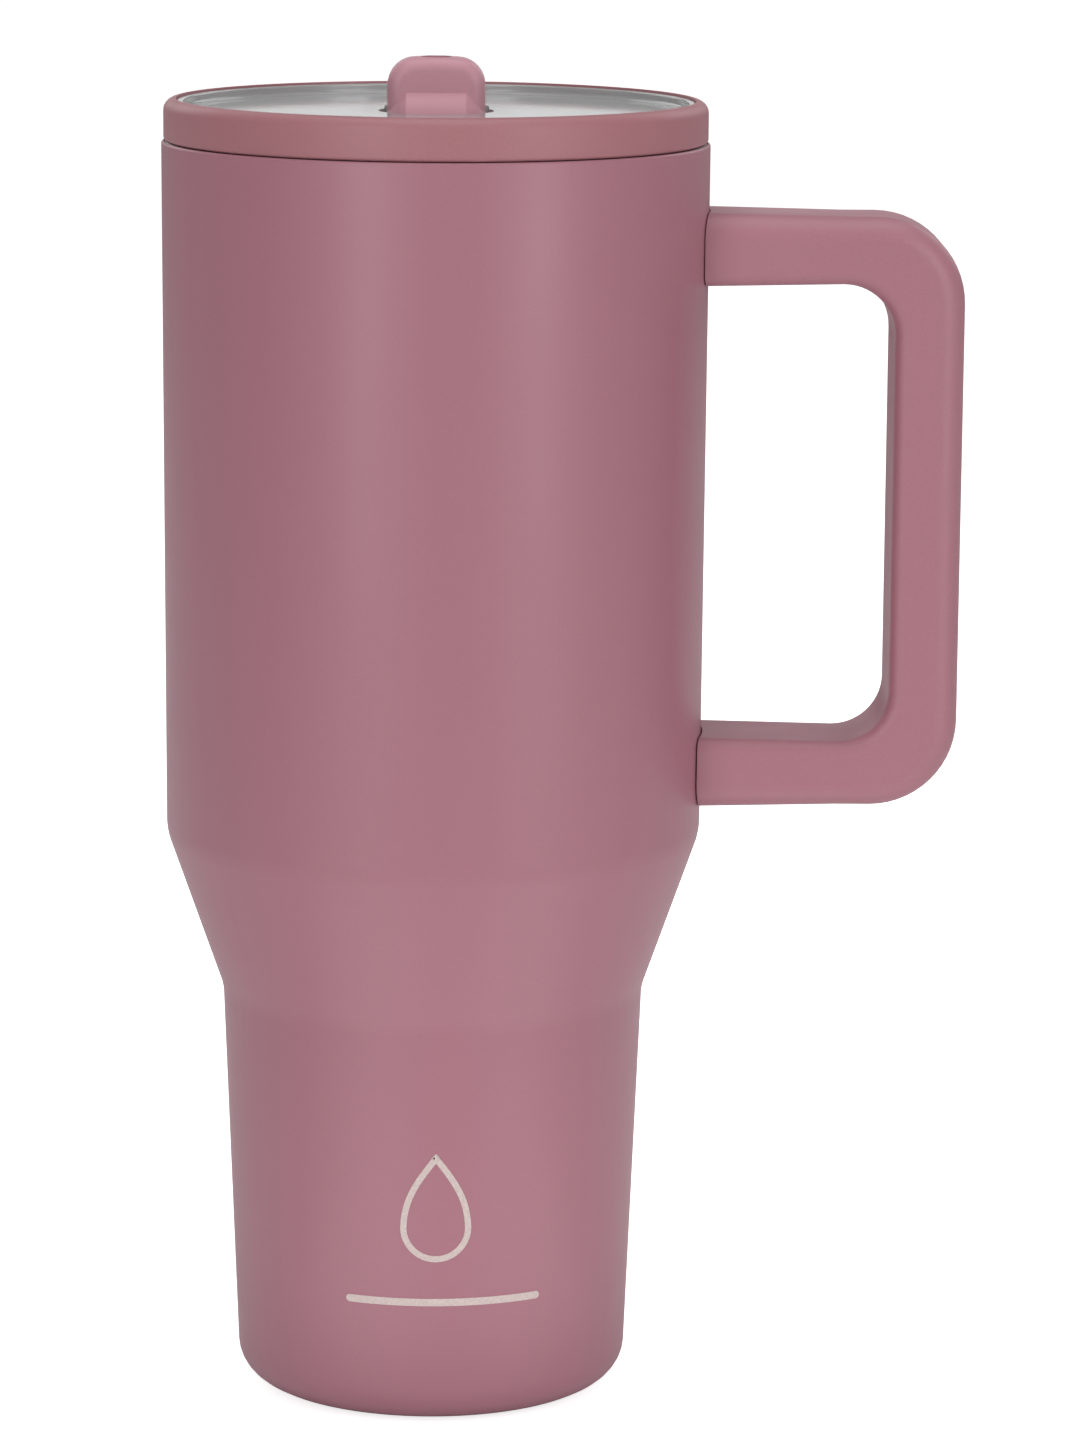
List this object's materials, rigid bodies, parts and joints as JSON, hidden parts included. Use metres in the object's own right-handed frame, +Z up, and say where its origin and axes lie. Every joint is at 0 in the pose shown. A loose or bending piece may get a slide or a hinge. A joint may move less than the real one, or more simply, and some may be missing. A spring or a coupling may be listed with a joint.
{
  "type": "insulated tumbler",
  "caption": "Double-wall insulated tumbler with a side handle, a tapered lower body that fits a cup holder, and a push-in lid with a flip-up spout and a straw.",
  "frame": {"origin": "centre of the flat face it stands on, on the vessel's axis", "axes": "+Z up along the vessel's axis, +X towards the handle, -Y towards the front; the spout folds back towards +Y"},
  "size_m": [0.1465, 0.1, 0.2479],
  "materials": {
    "powder_coat": "satin powder coat",
    "liner_steel": "brushed",
    "copper_foil": "rolled copper foil",
    "getter_alloy": "matt",
    "foot_rubber": "matt silicone rubber",
    "handle_plastic": "fine satin moulding",
    "lid_plastic": "fine satin moulding",
    "clear_plastic": "clear moulded plastic",
    "silicone": "translucent silicone rubber",
    "fixing_steel": "plain stainless steel"
  },
  "bodies": {
    "tumbler": {"outer_shell": "powder_coat", "inner_liner": "liner_steel", "foil_wrap": "copper_foil", "outer_bottom": "liner_steel", "getter": "getter_alloy", "getter_clip": "liner_steel", "vacuum_seal": "getter_alloy", "base_cap": "liner_steel", "foot_pad": "foot_rubber", "handle": "handle_plastic", "upper_handle_bracket": "liner_steel", "lower_handle_bracket": "liner_steel", "handle_screws": "fixing_steel", "handle_screw_plugs": "handle_plastic"},
    "lid": {"lid_ring": "lid_plastic", "lid_plate": "clear_plastic", "lid_gasket": "silicone", "spout_cradle": "lid_plastic", "spout_seal": "silicone", "spout_pins": "fixing_steel", "straw_holder": "silicone", "straw": "clear_plastic", "vent_valve": "silicone"},
    "spout": {"flip_spout": "lid_plastic"}
  },
  "joints": [
    {"name": "lid_lift", "type": "slide", "parent": "tumbler", "child": "lid", "axis": [0, 0, 1], "range_m": [0, 0.24]},
    {"name": "spout_hinge", "type": "hinge", "parent": "lid", "child": "spout", "pos_m": [0, 0, 0.2345], "axis": [-1, 0, 0], "range_deg": [0, 90]}
  ]
}
